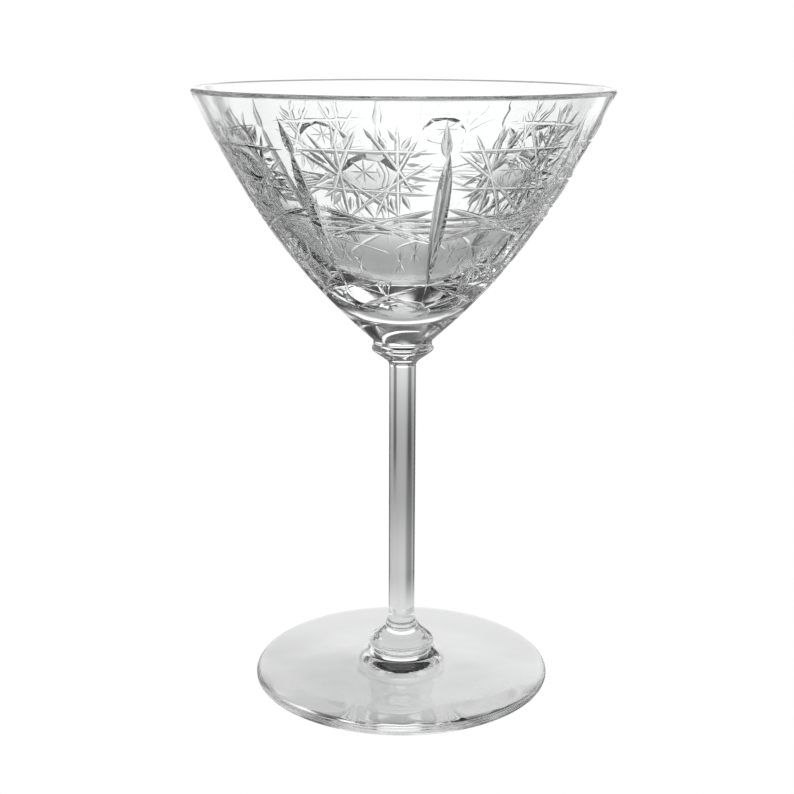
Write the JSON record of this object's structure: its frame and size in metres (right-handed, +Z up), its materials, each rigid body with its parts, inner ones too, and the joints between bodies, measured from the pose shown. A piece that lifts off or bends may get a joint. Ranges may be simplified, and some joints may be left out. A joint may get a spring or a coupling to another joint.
{
  "type": "martini glass",
  "caption": "Stemmed cocktail glass with a wide cut-crystal cone bowl, round collars above and below a slim stem, and a flat disc foot.",
  "frame": {"origin": "centre of the foot's underside, on the surface that the glass stands on", "axes": "+Z up along the stem's axis, -Y towards the front; the middle of the front cut panel is turned 8.5 degrees to the left of -Y"},
  "size_m": [0.1142, 0.1142, 0.17],
  "materials": {
    "cut_crystal": "wheel-cut and polished clear crystal",
    "clear_crystal": "fire-polished clear crystal"
  },
  "bodies": {
    "root": {"bowl": "cut_crystal", "upper_collar": "clear_crystal", "stem": "clear_crystal", "lower_collar": "clear_crystal", "foot": "clear_crystal"}
  },
  "joints": []
}
